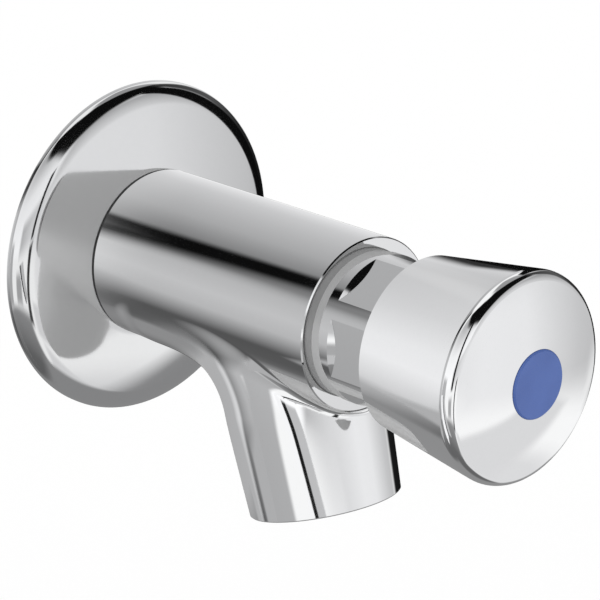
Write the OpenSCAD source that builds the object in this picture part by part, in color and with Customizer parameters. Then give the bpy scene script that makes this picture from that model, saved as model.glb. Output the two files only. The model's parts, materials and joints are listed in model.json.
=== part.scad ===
// Push timed tap: a wall-mounted self-closing bib tap.
// Pressing the button drives the spindle towards the wall, which lifts the valve washer off its seat.
// The spring brings it back while water bleeds slowly past the timing pin behind the piston.
// Frame: the origin is on the tap's axis in the plane of the wall, +Y goes into the wall, +Z is up.
// Lengths along the axis, called depth below, are counted from the wall out into the room.

/* [Wall rose] */
// Outside diameter of the rose
rose_d = 72; // [60:1:90]
// Height of the rose's seat above the wall
rose_h = 6.2; // [5:0.1:9]
// Sheet thickness of the rose
rose_t = 1.2; // [0.8:0.1:2]
// Radius of the rounded rim
rim_r = 3; // [2:0.1:4]
// Radius of the domed face, which runs on into the rim
dome_r = 160; // [140:5:220]
// Thickness of the rubber washer behind the rose
washer_h = 2; // [1:0.1:3]
// Thickness of the gasket between the rose and the body
gasket_h = 0.4; // [0.3:0.1:0.8]

/* [Inlet tail] */
// Outside diameter of the half-inch pipe thread
tail_d = 20.955; // [19:0.005:26]
// Length of the tail beyond the wall
tail_l = 15; // [10:0.5:30]
// Bore of the tail
tail_bore_d = 14; // [11:0.5:15]
// Chamfer at the end of the tail
tail_chamfer = 1; // [0.5:0.1:2]

/* [Body] */
// Outside diameter of the body
body_d = 36; // [35:0.5:42]
// Length of the body in front of the rose
body_l = 62.8; // [60:0.2:75]
// Wall of the body round the main bore
body_wall = 4; // [3:0.1:4.2]
// Metal between the rose seat and the inlet chamber
inlet_wall = 3.8; // [3:0.1:5]
// Diameter of the inlet chamber
chamber_d = 20; // [18:0.5:21]

/* [Spout] */
// Distance of the spout's axis behind the front of the body
spout_setback = 23.2; // [22:0.2:26]
// Forward lean of the spout from the vertical, in degrees
spout_lean = 15.8; // [8:0.2:22]
// Length of the spout along its axis, from the body's axis
spout_reach = 43.5; // [40:0.5:70]
// Radius of the long arc in which the spout leaves the body
lead_r = 50; // [40:1:60]
// Angle of that arc, in degrees
lead_angle = 25; // [15:1:35]
// Radius of the tighter arc that turns down into the nozzle
bend_r = 25; // [22:0.5:30]
// How much smaller the spout's radius is than the body's
spout_inset = 1.1; // [0.8:0.1:1.5]
// Outside diameter of the spout at its mouth
mouth_d = 31.7; // [30:0.1:34]
// Diameter of the water passage in the spout
passage_d = 17; // [12:0.5:17]
// Wall of the spout round the outlet insert
mouth_wall = 3.35; // [2.5:0.05:4]
// Depth of the bore for the outlet insert
mouth_bore_l = 13.5; // [12:0.5:14]

/* [Cartridge] */
// Stroke of the button
travel = 8; // [6:0.5:9]
// Width of the water gap round the sleeve
water_gap = 2.5; // [2:0.1:3]
// Wall of the sleeve
sleeve_wall = 1.5; // [1.2:0.1:1.8]
// Diameter of the valve seat's hole
seat_d = 10; // [9:0.5:11]
// Length of the seat block at the rear of the sleeve
seat_l = 6; // [5:0.5:7]
// Diameter of each water port in the sleeve
port_d = 4.8; // [3:0.2:5]
// Number of water ports
port_count = 6; // [3:1:6]
// Diameter of the spindle
spindle_d = 9.6; // [8.6:0.2:10]
// Length of the piston
piston_l = 8; // [7:0.5:9]
// Diameter of the timing pin
pin_d = 1.4; // [1:0.1:1.6]

/* [Cartridge head] */
// Diameter of the neck
neck_d = 31; // [30:0.1:32]
// Spanner size across the neck's flats
neck_af = 28.6; // [28:0.1:30]
// Length of the plain band next to the body
band_l = 2.1; // [1:0.1:3]
// Length of the round collar behind the flats
collar_l = 2.4; // [1.5:0.1:4]
// Length of the cone that runs the collar out into the flats
shoulder_l = 1.2; // [1:0.1:3]
// Length of the neck that stays inside the button
neck_overlap = 11.2; // [9:0.2:12]

/* [Button] */
// Gap between the body and the button at rest
button_gap = 15.8; // [14:0.2:20]
// Length of the button's side, up to the edge of its face
button_l = 27.1; // [26.5:0.1:34]
// Diameter of the button at the rear
button_rear_d = 36; // [35:0.5:40]
// Widening of the button's radius along its side
button_flare = 3.7; // [1:0.1:5]
// Radius of the rounded front edge
button_edge_r = 2.5; // [1:0.1:3]
// Radius of the domed face
face_r = 65; // [50:1:120]
// Wall of the button
button_wall = 1.8; // [1.4:0.1:2]
// Diameter of the coloured index disc
disc_d = 13.8; // [12:0.2:16]
// Height of the index disc above the face
disc_proud = 0.45; // [0.2:0.05:1]

/* [Return spring] */
// Wire diameter
wire_d = 1.6; // [1.2:0.1:1.8]
// Mean coil diameter
coil_d = 17; // [16.2:0.2:18]
// Number of turns
coil_turns = 7; // [5:1:8]

/* [Fits] */
// Radial clearance of a sliding seal or bush
running_fit = 0.05; // [0.02:0.01:0.1]
// Radial clearance of parts that stay together
seat_fit = 0.05; // [0.02:0.01:0.1]
// Radial clearance of parts that pass without touching
free_fit = 0.3; // [0.3:0.05:0.4]
// Gap between the valve washer and its seat at rest
shut_gap = 0.1; // [0.05:0.05:0.3]

/* [Hidden] */
$fn = 96;
fine = 360;
// How far a cut runs past the metal it cuts
overcut = 1;
// Gap at the end of a piece that stops against another
end_gap = 0.1;
body_r = body_d / 2;
tail_r = tail_d / 2;
tail_bore_r = tail_bore_d / 2;
body_front = rose_h + body_l;
edge_bevel = 0.25;
// Tail inside the rose
tail_relief = 0.3;
tail_neck_r = tail_r - tail_relief;
rose_hole_fit = 0.15;
rose_hole_r = tail_r + rose_hole_fit;
rose_r = rose_d / 2;
rim_mid_r = rose_r - rim_r;
dome_centre = rose_h - sqrt(dome_r ^ 2 - body_r ^ 2);
dome_turn = asin(rim_mid_r / (dome_r - rim_r));
// Straight edge of the rim, up to the middle of its rounding
rim_edge_least = 0.2;
rim_edge = max(rim_edge_least, dome_centre + (dome_r - rim_r) * cos(dome_turn));
washer_w = 5;
washer_out_r = rose_hole_r + washer_w;
gasket_inset = 0.1;
body_rear = rose_h + gasket_h;
// Strainer in the tail
strainer_l = 4;
strainer_from = 0.5;
strainer_wall = 1.2;
strainer_plate = 1;
strainer_lap = 0.2;
strainer_rings = 2;
strainer_hole_r = 0.65;
strainer_pitch = 2.1;
// Valve stack behind the seat
lip_h = 1;
lip_w = 1.2;
valve_washer_t = 2.5;
plate_t = 1.5;
nut_t = 3;
nut_af = 7;
stud_r = 2;
stud_spare = 0.5;
chamber_spare = 0.9;
chamber_r = chamber_d / 2;
chamber_at = rose_h + inlet_wall;
chamber_l = travel + valve_washer_t + plate_t + lip_h + shut_gap + chamber_spare;
sleeve_at = chamber_at + chamber_l;
valve_face = sleeve_at - lip_h - shut_gap;
plate_face = valve_face - valve_washer_t;
nut_face = plate_face - plate_t;
stud_end = nut_face - nut_t - stud_spare;
valve_margin = 1;
valve_r = seat_d / 2 + lip_w + valve_margin;
// Sleeve and main bore
main_bore_r = body_r - body_wall;
sleeve_r = main_bore_r - water_gap;
sleeve_bore_r = sleeve_r - sleeve_wall;
socket_r = sleeve_r + seat_fit;
seat_r = seat_d / 2;
sleeve_bore_at = sleeve_at + seat_l;
socket_spare = 1;
main_bore_at = sleeve_bore_at + socket_spare;
ring_cord = 1.8;
ring_side_gap = 0.2;
ring_groove_w = ring_cord + 2 * ring_side_gap;
ring_rise = 0.1;
ring_groove_r = sleeve_r - ring_cord + ring_rise;
ring_groove_at = sleeve_at + (seat_l - ring_groove_w) / 2;
port_r = port_d / 2;
port_margin = 1.6;
port_at = sleeve_bore_at + port_margin + port_r;
// Piston on the spindle
spindle_r = spindle_d / 2;
land_step = 0.8;
piston_land_r = spindle_r - land_step;
stem_step = 1.8;
valve_stem_r = spindle_r - stem_step;
clip_t = 0.8;
clip_groove = 0.8;
clip_groove_r = piston_land_r - clip_groove;
clip_rise = 0.1;
clip_r = spindle_r + clip_rise;
port_clear = 0.6;
piston_at = port_at + port_r + port_clear + clip_t + 2 * end_gap + travel;
piston_front = piston_at + piston_l;
piston_play = 0.1;
piston_r = sleeve_bore_r - free_fit - piston_play;
piston_seal_w = 2.8;
seal_lip_l = 0.8;
seal_lip_t = 0.5;
seal_heel_t = 0.4;
seal_web_l = 1;
piston_flange = 2;
piston_seal_at = piston_at + piston_flange;
// The piston's wall is shared in thirds by the seal's groove and the metal on both sides of the pin
piston_third = (piston_r - spindle_r) / 3;
piston_seal_in_r = piston_r - piston_third;
land_l = 5;
stem_from = piston_at - clip_t - 2 * end_gap - land_l;
// Head, from the body's front face back and forth
head_sunk = 5;
head_floor = body_front - head_sunk;
head_skirt_l = 4;
head_rear = head_floor - head_skirt_l;
seal_washer_t = 1;
sleeve_front = head_floor - seal_washer_t - end_gap;
thread_r = main_bore_r - seat_fit;
head_bore_r = sleeve_r + seat_fit;
bush_wall = 2.2;
pocket_r = spindle_r + bush_wall;
seal_l = 3.8;
bush_l = 8;
pocket_l = seal_l + bush_l + 2 * end_gap;
web_l = 2;
spring_floor = head_floor + pocket_l + web_l;
head_ring_cord = 1.5;
head_ring_step = 1;
head_ring_gap = 0.1;
head_ring_pocket_r = main_bore_r + head_ring_step;
head_ring_pocket_l = 1.8;
undercut_r = head_ring_pocket_r - head_ring_cord - 2 * head_ring_gap;
neck_r = neck_d / 2;
band_step = 0.25;
band_r = neck_r - band_step;
collar_from = body_front + band_l;
collar_end = collar_from + collar_l;
button_rear = body_front + button_gap;
neck_end = button_rear + neck_overlap;
neck_chamfer = 1;
neck_turn = 30;
coil_room = 1.7;
spring_cavity_r = coil_d / 2 + wire_d / 2 + coil_room;
// Timing pin between the spindle and the piston seal
pin_r = pin_d / 2;
pin_at_r = spindle_r + piston_third;
bleed_gap = 0.08;
pin_hole_r = pin_r + bleed_gap;
pin_spare = 1;
pin_rear = piston_at - travel - pin_spare;
// Spout
spout_at = body_front - spout_setback;
spout_root_r = body_r - spout_inset;
// Step that keeps neighbours along the spout from sharing one edge
seam_step = 0.02;
bend_angle = 90 - spout_lean;
bend_drop = lead_r * (1 - cos(lead_angle)) + bend_r * (cos(lead_angle) - cos(bend_angle));
bend_run = lead_r * sin(lead_angle) + bend_r * (sin(bend_angle) - sin(lead_angle));
nozzle_from = bend_drop / sin(bend_angle);
bend_from = spout_at + nozzle_from * cos(bend_angle) - bend_run;
mouth_r = mouth_d / 2;
mouth_bore_r = mouth_r - mouth_wall;
mouth_bore_at = spout_reach - mouth_bore_l;
passage_r = passage_d / 2;
passage_from = 6;
outlet_ring_cord = 1.8;
outlet_ring_at = mouth_bore_at + outlet_ring_cord + end_gap;
outlet_recess = 0.6;
outlet_ring_end = spout_reach - outlet_recess;
outlet_ring_r = mouth_bore_r - seat_fit;
outlet_wall = 2.3;
outlet_bore_r = outlet_ring_r - outlet_wall;
outlet_lip = 1;
straightener_r = outlet_bore_r - seat_fit;
straightener_end = outlet_ring_end - outlet_lip;
straightener_l = 8;
cell_af = 3.2;
cell_pitch = 3.8;
cell_rings = 2;
// Button
face_edge = button_rear + button_l;
edge_centre = face_edge - button_edge_r;
button_rear_r = button_rear_d / 2;
flare_slope = button_flare / button_l;
flare_angle = atan(flare_slope);
edge_mid_r = side_r(edge_centre) - button_edge_r / cos(flare_angle);
face_centre = edge_centre - sqrt((face_r - button_edge_r) ^ 2 - edge_mid_r ^ 2);
face_top = face_centre + face_r;
front_wall = 2.9;
button_floor = face_edge - front_wall;
hub_l = 5;
hub_at = button_floor - hub_l;
hub_rim = 0.9;
hub_r = coil_d / 2 + wire_d / 2 + hub_rim;
spigot_l = 3;
spigot_gap = 1.2;
spigot_r = coil_d / 2 - wire_d / 2 - spigot_gap;
socket_floor = 0.6;
spindle_front = button_floor - socket_floor;
socket_end = spindle_front + end_gap;
disc_r = disc_d / 2;
disc_t = 2;
disc_front = face_centre + sqrt(face_r ^ 2 - disc_r ^ 2) + disc_proud;
disc_rear = disc_front - disc_t;
disc_edge = 0.3;
screw_r = 2.45;
screw_head_r = 4.3;
screw_head_t = 2.2;
screw_gap = 0.2;
screw_head_at = disc_rear - screw_gap - screw_head_t;
screw_l = 12;
screw_key_af = 4;
screw_key_l = 1.4;
// Spring, seated between the head and the button's hub
wire_r = wire_d / 2;
coil_r = coil_d / 2;
spring_from = spring_floor + wire_r + end_gap;
spring_to = hub_at - wire_r - end_gap;
coil_steps = 8;
wire_sides = 6;
end_ease = 0.35;
coil_nudge = 0.001;

// Radius of the button's side at a depth
function side_r(depth) = button_rear_r + (depth - button_rear) * flare_slope;

// Local Z becomes the tap's axis, out of the wall, and local Y becomes up
module on_axis() {
  rotate([90, 0, 0]) children();
}

// Local Z becomes the spout's axis, counted from the body's axis down to the mouth
module on_spout() {
  translate([0, -spout_at, 0]) rotate([180 - spout_lean, 0, 0]) children();
}

module rod(r, from, to) {
  on_axis() translate([0, 0, from]) cylinder(r = r, h = to - from);
}

module cone(r_from, r_to, from, to) {
  on_axis() translate([0, 0, from]) cylinder(r1 = r_from, r2 = r_to, h = to - from);
}

module tube(r_out, r_in, from, to) {
  difference() {
    rod(r_out, from, to);
    rod(r_in, from - overcut, to + overcut);
  }
}

module hex_rod(af, from, to, turn = 0) {
  on_axis() translate([0, 0, from]) rotate([0, 0, turn])
    cylinder(r = af / 2 / cos(30), h = to - from, $fn = 6);
}

module cord_ring(mid_r, cord_d) {
  rotate_extrude() translate([mid_r, 0]) circle(d = cord_d);
}

// Arc of the spout's bend between two angles from the body's axis, round a centre under that axis
module bend_arc(centre_depth, centre_drop, arc_r, from, to, tube_r) {
  translate([0, -centre_depth, -centre_drop]) rotate([0, -90, 180]) rotate([0, 0, from])
    rotate_extrude(angle = to - from) translate([arc_r, 0]) circle(r = tube_r);
}

// Outer form of the spout: a bend of two arcs that leaves the body, then a tapered nozzle
module spout_form() {
  centre_shift = lead_r - bend_r;
  turn_depth = bend_from + centre_shift * sin(lead_angle);
  turn_drop = lead_r - centre_shift * cos(lead_angle);
  nozzle_r = spout_root_r - 2 * seam_step;
  bend_arc(bend_from, lead_r, lead_r, 0, lead_angle, spout_root_r);
  bend_arc(turn_depth, turn_drop, bend_r, lead_angle, bend_angle, spout_root_r - seam_step);
  on_spout() translate([0, 0, nozzle_from])
    cylinder(r1 = nozzle_r, r2 = mouth_r, h = spout_reach - edge_bevel - nozzle_from);
  on_spout() translate([0, 0, spout_reach - edge_bevel])
    cylinder(r1 = mouth_r, r2 = mouth_r - edge_bevel, h = edge_bevel);
}

module body_casting() {
  color("silver") difference() {
    union() {
      rod(body_r, body_rear, body_front - edge_bevel);
      cone(body_r, body_r - edge_bevel, body_front - edge_bevel, body_front);
      rod(tail_neck_r, -overcut, body_rear + overcut);
      rod(tail_r, tail_chamfer - tail_l, 0);
      cone(tail_r - tail_chamfer, tail_r, -tail_l, tail_chamfer - tail_l);
      spout_form();
    }
    rod(tail_bore_r, -tail_l - overcut, chamber_at + overcut);
    rod(chamber_r, chamber_at, sleeve_at + overcut);
    rod(socket_r, sleeve_at, main_bore_at + overcut);
    rod(main_bore_r, main_bore_at, body_front + overcut);
    rod(head_ring_pocket_r, body_front - head_ring_pocket_l, body_front + overcut);
    on_spout() translate([0, 0, passage_from])
      cylinder(r = passage_r, h = mouth_bore_at + overcut - passage_from);
    on_spout() translate([0, 0, mouth_bore_at]) cylinder(r = mouth_bore_r, h = mouth_bore_l + overcut);
  }
}

// Half section under the rose's surface, drawn in by a thickness
module rose_section(inset) {
  square([rose_r - inset, rim_edge]);
  intersection() {
    translate([rim_mid_r, rim_edge]) circle(r = rim_r - inset);
    square([rose_r + overcut, rose_h]);
  }
  intersection() {
    translate([0, dome_centre]) circle(r = dome_r - inset, $fn = fine);
    square([(dome_r - inset) * sin(dome_turn), rose_h - inset]);
  }
}

module wall_rose() {
  color("gainsboro") on_axis() rotate_extrude($fn = fine) difference() {
    rose_section(0);
    rose_section(rose_t);
    translate([0, -overcut]) square([rose_hole_r, rose_h + 2 * overcut]);
  }
}

module tail_washer() {
  color("dimgray") tube(washer_out_r, rose_hole_r, rose_h - rose_t - washer_h, rose_h - rose_t);
}

module seat_gasket() {
  color("black") tube(body_r - gasket_inset, rose_hole_r, rose_h, body_rear);
}

module inlet_strainer() {
  plate_to = strainer_from + strainer_plate;
  color("white") difference() {
    union() {
      tube(tail_bore_r - seat_fit, tail_bore_r - strainer_wall, strainer_from, strainer_from + strainer_l);
      rod(tail_bore_r - strainer_wall + strainer_lap, strainer_from, plate_to);
    }
    for (ring = [0 : strainer_rings])
      for (i = [0 : max(1, 6 * ring) - 1])
        rotate([0, 60 / max(1, ring) * i, 0]) translate([strainer_pitch * ring, 0, 0])
          rod(strainer_hole_r, strainer_from - overcut, plate_to + overcut);
  }
}

module cartridge_sleeve() {
  color("whitesmoke") difference() {
    union() {
      rod(sleeve_r, sleeve_at, sleeve_front);
      rod(seat_r + lip_w, sleeve_at - lip_h, sleeve_at + overcut);
    }
    rod(seat_r, sleeve_at - lip_h - overcut, sleeve_bore_at + overcut);
    rod(sleeve_bore_r, sleeve_bore_at, sleeve_front + overcut);
    tube(sleeve_r + overcut, ring_groove_r, ring_groove_at, ring_groove_at + ring_groove_w);
    for (i = [0 : port_count - 1])
      rotate([0, 360 / port_count * i, 0]) translate([0, -port_at, 0])
        cylinder(r = port_r, h = sleeve_r + overcut);
  }
}

module sleeve_o_ring() {
  cord = socket_r - ring_groove_r - 2 * seat_fit;
  color("black") on_axis() translate([0, 0, ring_groove_at + ring_groove_w / 2])
    cord_ring((socket_r + ring_groove_r) / 2, cord);
}

module neck_form() {
  rod(band_r, body_front, collar_from);
  rod(neck_r, collar_from, collar_end);
  cone(neck_r, neck_af / 2, collar_end, collar_end + shoulder_l);
  intersection() {
    union() {
      rod(neck_r, collar_end, neck_end - neck_chamfer);
      cone(neck_r, neck_r - neck_chamfer, neck_end - neck_chamfer, neck_end);
    }
    hex_rod(neck_af, collar_end - overcut, neck_end + overcut, neck_turn);
  }
}

module cartridge_head() {
  color("silver") difference() {
    union() {
      rod(thread_r, head_rear, body_front - head_ring_pocket_l);
      rod(undercut_r, head_rear, body_front + band_l / 2);
      neck_form();
    }
    rod(head_bore_r, head_rear - overcut, head_floor);
    rod(pocket_r, head_floor - overcut, head_floor + pocket_l);
    rod(spindle_r + free_fit, head_floor, spring_floor + overcut);
    rod(spring_cavity_r, spring_floor, neck_end + overcut);
  }
}

module head_o_ring() {
  color("black") on_axis() translate([0, 0, body_front - head_ring_pocket_l / 2])
    cord_ring((head_ring_pocket_r + undercut_r) / 2, head_ring_cord);
}

module seal_washer() {
  color("darkgoldenrod") difference() {
    tube(sleeve_r, spindle_r + free_fit, head_floor - seal_washer_t, head_floor);
    translate([pin_at_r, 0, 0]) rod(pin_r + seat_fit, head_floor - 2 * seal_washer_t, head_floor + overcut);
  }
}

module spindle_seal() {
  color("black") tube(pocket_r - seat_fit, spindle_r + running_fit, head_floor, head_floor + seal_l);
}

module guide_bush() {
  bush_at = head_floor + seal_l + end_gap;
  color("ivory") tube(pocket_r - seat_fit, spindle_r + running_fit, bush_at, bush_at + bush_l);
}

module timing_pin() {
  color("lightgray") translate([pin_at_r, 0, 0]) rod(pin_r, pin_rear, head_floor);
}

module outlet_o_ring() {
  color("black") on_spout() translate([0, 0, mouth_bore_at + outlet_ring_cord / 2])
    cord_ring(mouth_bore_r - outlet_ring_cord / 2 - seat_fit, outlet_ring_cord);
}

module outlet_ring() {
  length = outlet_ring_end - outlet_ring_at;
  color("silver") on_spout() translate([0, 0, outlet_ring_at]) difference() {
    cylinder(r = outlet_ring_r, h = length);
    translate([0, 0, -overcut]) cylinder(r = outlet_bore_r, h = length + overcut - outlet_lip);
    translate([0, 0, -overcut]) cylinder(r = outlet_bore_r - outlet_lip, h = length + 2 * overcut);
  }
}

// Honeycomb that straightens the stream
module flow_straightener() {
  color("whitesmoke") on_spout() translate([0, 0, straightener_end - straightener_l])
    linear_extrude(straightener_l) difference() {
      circle(r = straightener_r);
      for (ring = [-cell_rings : cell_rings])
        for (i = [0 : 2 * cell_rings - abs(ring)])
          translate([(i - cell_rings + abs(ring) / 2) * cell_pitch, ring * cell_pitch * sin(60)])
            rotate(30) circle(r = cell_af / 2 / cos(30), $fn = 6);
    }
}

// Helix of the spring: close at both ends and open between them
function coil_rise(u) = u - end_ease * sin(360 * u) / (2 * PI);
function coil_angle(u) = 360 * coil_turns * u;
function coil_point(u) = [
  coil_r * cos(coil_angle(u)),
  coil_r * sin(coil_angle(u)),
  spring_from + (spring_to - spring_from) * coil_rise(u)
];
function unit(v) = v / norm(v);
function coil_ring(u) =
  let (
    outward = [cos(coil_angle(u)), sin(coil_angle(u)), 0],
    forward = unit(coil_point(u + coil_nudge) - coil_point(u - coil_nudge)),
    across = unit(cross(forward, outward))
  )
  [for (k = [0 : wire_sides - 1])
    coil_point(u) + wire_r * (cos(360 / wire_sides * k) * outward + sin(360 / wire_sides * k) * across)];
coil_last = coil_turns * coil_steps;
coil_centres = [for (i = [0 : coil_last]) coil_point(i / coil_last)];
coil_gap = min([for (i = [0 : coil_last - coil_steps + 2]) for (j = [i + coil_steps - 2 : coil_last])
  norm(coil_centres[i] - coil_centres[j])]) - wire_d;
echo(least_gap_between_coils = coil_gap);

module return_spring() {
  rings = [for (i = [0 : coil_last]) each coil_ring(i / coil_last)];
  sides = [for (i = [0 : coil_last - 1]) for (k = [0 : wire_sides - 1])
    let (a = i * wire_sides + k, b = i * wire_sides + (k + 1) % wire_sides)
    each [[a, a + wire_sides, b], [b, a + wire_sides, b + wire_sides]]];
  first_cap = [for (k = [1 : wire_sides - 2]) [0, k, k + 1]];
  base = coil_last * wire_sides;
  last_cap = [for (k = [1 : wire_sides - 2]) [base, base + k + 1, base + k]];
  color("lightsteelblue") on_axis() polyhedron(rings, concat(sides, first_cap, last_cap));
}

// Half section of the button's outside: flared side, rounded edge and domed face
module button_section() {
  reach = 1.5 * face_r;
  polygon([
    [0, button_rear],
    [button_rear_r, button_rear],
    [edge_mid_r + button_edge_r * cos(flare_angle), edge_centre - button_edge_r * sin(flare_angle)],
    [edge_mid_r, edge_centre],
    [0, edge_centre]
  ]);
  translate([edge_mid_r, edge_centre]) circle(r = button_edge_r);
  intersection() {
    translate([0, face_centre]) circle(r = face_r, $fn = fine);
    polygon([
      [0, edge_centre - overcut],
      [edge_mid_r, edge_centre],
      [edge_mid_r, edge_centre] + reach * unit([edge_mid_r, edge_centre - face_centre]),
      [0, face_centre + reach]
    ]);
  }
}

module button_cap() {
  inner_rear_r = button_rear_r - button_wall;
  inner_front_r = side_r(button_floor) - button_wall;
  color("gainsboro") difference() {
    on_axis() rotate_extrude($fn = fine) intersection() {
      button_section();
      translate([0, button_rear]) square([2 * button_rear_d, 2 * button_l]);
    }
    difference() {
      cone(inner_rear_r, inner_front_r, button_rear, button_floor);
      rod(hub_r, hub_at, button_floor + overcut);
      rod(spigot_r, hub_at - spigot_l, hub_at + overcut);
    }
    rod(spindle_r + seat_fit, hub_at - spigot_l - overcut, socket_end);
    rod(screw_r + screw_gap, socket_end - overcut, screw_head_at + overcut);
    rod(screw_head_r + screw_gap, screw_head_at, disc_rear + overcut);
    rod(disc_r + seat_fit, disc_rear - end_gap, face_top + overcut);
  }
}

module index_disc() {
  color("royalblue") union() {
    rod(disc_r, disc_rear, disc_front - disc_edge);
    cone(disc_r, disc_r - disc_edge, disc_front - disc_edge, disc_front);
  }
}

module button_screw() {
  screw_top = screw_head_at + screw_head_t;
  color("lightgray") difference() {
    union() {
      rod(screw_head_r, screw_head_at, screw_top);
      rod(screw_r, screw_head_at - screw_l, screw_head_at + overcut);
    }
    hex_rod(screw_key_af, screw_top - screw_key_l, screw_top + overcut);
  }
}

module spindle() {
  color("goldenrod") difference() {
    union() {
      rod(stud_r, stud_end, valve_face + overcut);
      rod(valve_stem_r, valve_face, stem_from + overcut);
      rod(piston_land_r, stem_from, piston_front + overcut);
      rod(spindle_r, piston_front, spindle_front);
    }
    tube(spindle_r, clip_groove_r, piston_at - clip_t - 2 * end_gap, piston_at);
    rod(screw_r + seat_fit, screw_head_at - screw_l - overcut, spindle_front + overcut);
  }
}

module piston() {
  color("ivory") difference() {
    tube(piston_r, piston_land_r + seat_fit, piston_at, piston_front);
    tube(piston_r + overcut, piston_seal_in_r, piston_seal_at, piston_seal_at + piston_seal_w);
    translate([pin_at_r, 0, 0]) rod(pin_hole_r, piston_at - overcut, piston_front + overcut);
  }
}

// Cup seal whose lip flares out towards the front
module piston_seal() {
  lip_r = sleeve_bore_r - running_fit;
  from = piston_seal_at + end_gap;
  to = piston_seal_at + piston_seal_w - end_gap;
  in_r = piston_seal_in_r + seat_fit;
  color("black") on_axis() rotate_extrude() polygon([
    [in_r, from], [piston_r, from], [lip_r, to - seal_lip_l], [lip_r, to],
    [lip_r - seal_lip_t, to], [in_r + seal_heel_t, from + seal_web_l],
    [in_r + seal_heel_t, to], [in_r, to]
  ]);
}

module piston_clip() {
  color("lightgray") difference() {
    tube(clip_r, clip_groove_r + seat_fit, piston_at - clip_t - end_gap, piston_at - end_gap);
    translate([0, clip_t / 2 + end_gap - piston_at, clip_r])
      cube([clip_groove_r, 2 * clip_t, 2 * clip_r], center = true);
  }
}

module valve_washer() {
  color("black") tube(valve_r, stud_r + seat_fit, plate_face, valve_face);
}

module washer_plate() {
  color("goldenrod") tube(valve_r, stud_r + seat_fit, nut_face, plate_face);
}

module valve_nut() {
  color("goldenrod") difference() {
    hex_rod(nut_af, nut_face - nut_t, nut_face);
    rod(stud_r + seat_fit, nut_face - nut_t - overcut, nut_face + overcut);
  }
}

body_casting();
wall_rose();
tail_washer();
seat_gasket();
inlet_strainer();
cartridge_sleeve();
sleeve_o_ring();
cartridge_head();
head_o_ring();
seal_washer();
spindle_seal();
guide_bush();
timing_pin();
outlet_o_ring();
outlet_ring();
flow_straightener();
return_spring();
button_cap();
index_disc();
button_screw();
spindle();
piston();
piston_seal();
piston_clip();
valve_washer();
washer_plate();
valve_nut();
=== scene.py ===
"""Push timed tap: chromed casting, rose, neck and button over a timing cartridge, in a white light tent."""
import json
import math

import bmesh
import bpy
import numpy as np
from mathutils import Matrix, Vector


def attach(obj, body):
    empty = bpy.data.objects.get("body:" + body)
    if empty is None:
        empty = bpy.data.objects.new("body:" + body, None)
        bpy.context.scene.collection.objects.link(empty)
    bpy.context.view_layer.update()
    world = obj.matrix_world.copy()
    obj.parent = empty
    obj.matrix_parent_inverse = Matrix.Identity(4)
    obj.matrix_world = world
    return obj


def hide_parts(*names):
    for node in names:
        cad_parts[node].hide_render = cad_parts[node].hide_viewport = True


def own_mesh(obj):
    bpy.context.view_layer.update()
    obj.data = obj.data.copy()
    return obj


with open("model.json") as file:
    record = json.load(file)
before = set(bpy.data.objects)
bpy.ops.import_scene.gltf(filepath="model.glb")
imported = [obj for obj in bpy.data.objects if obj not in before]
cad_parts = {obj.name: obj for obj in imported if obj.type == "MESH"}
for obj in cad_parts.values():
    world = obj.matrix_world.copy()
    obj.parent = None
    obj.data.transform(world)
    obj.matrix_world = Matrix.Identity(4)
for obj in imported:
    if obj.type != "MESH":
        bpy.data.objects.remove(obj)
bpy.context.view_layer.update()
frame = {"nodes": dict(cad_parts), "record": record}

MM = 0.001


# Small helpers for node trees

MIX_SHARE, MIX_FIRST, MIX_SECOND, MIX_RESULT = 0, 6, 7, 2
NOISE_LOW, NOISE_HIGH = 0.35, 0.65


def add_node(tree, kind, **settings):
    node = tree.nodes.new(kind)
    for name, value in settings.items():
        setattr(node, name, value)
    return node


def feed(tree, node, socket, value):
    """Links an output to an input socket, or sets the input's own value."""
    if isinstance(value, bpy.types.NodeSocket):
        tree.links.new(value, node.inputs[socket])
    else:
        node.inputs[socket].default_value = value


def mix_colour(tree, share, first, second):
    """Runs from the first colour to the second as the share goes from 0 to 1."""
    node = add_node(tree, "ShaderNodeMix", data_type="RGBA")
    for socket, entry in ((MIX_SHARE, share), (MIX_FIRST, first), (MIX_SECOND, second)):
        feed(tree, node, socket, entry)
    return node.outputs[MIX_RESULT]


def grey(level):
    return (level, level, level, 1.0)


def new_group(name, inputs, outputs):
    """A shader node group with its named sockets, and its input and output nodes."""
    group = bpy.data.node_groups.new(name, "ShaderNodeTree")
    for label, kind, value in inputs:
        group.interface.new_socket(label, in_out="INPUT", socket_type=kind).default_value = value
    for label, kind in outputs:
        group.interface.new_socket(label, in_out="OUTPUT", socket_type=kind)
    return group, group.nodes.new("NodeGroupInput"), group.nodes.new("NodeGroupOutput")


def noise(tree, vector, scale, detail):
    node = add_node(tree, "ShaderNodeTexNoise")
    feed(tree, node, "Vector", vector)
    feed(tree, node, "Scale", scale)
    feed(tree, node, "Detail", detail)
    return node.outputs["Fac"]


def spread(tree, value, low, high):
    """Maps the middle of a noise to a range."""
    node = add_node(tree, "ShaderNodeMapRange")
    entries = {
        "Value": value, "From Min": NOISE_LOW, "From Max": NOISE_HIGH, "To Min": low, "To Max": high}
    for socket, entry in entries.items():
        feed(tree, node, socket, entry)
    return node.outputs["Result"]


# Effects that several finishes share

FLOAT = "NodeSocketFloat"
RING_WANDER, TURNED_PATCHES, FLOW_MARKS = 0.6, 180.0, 120.0


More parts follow.
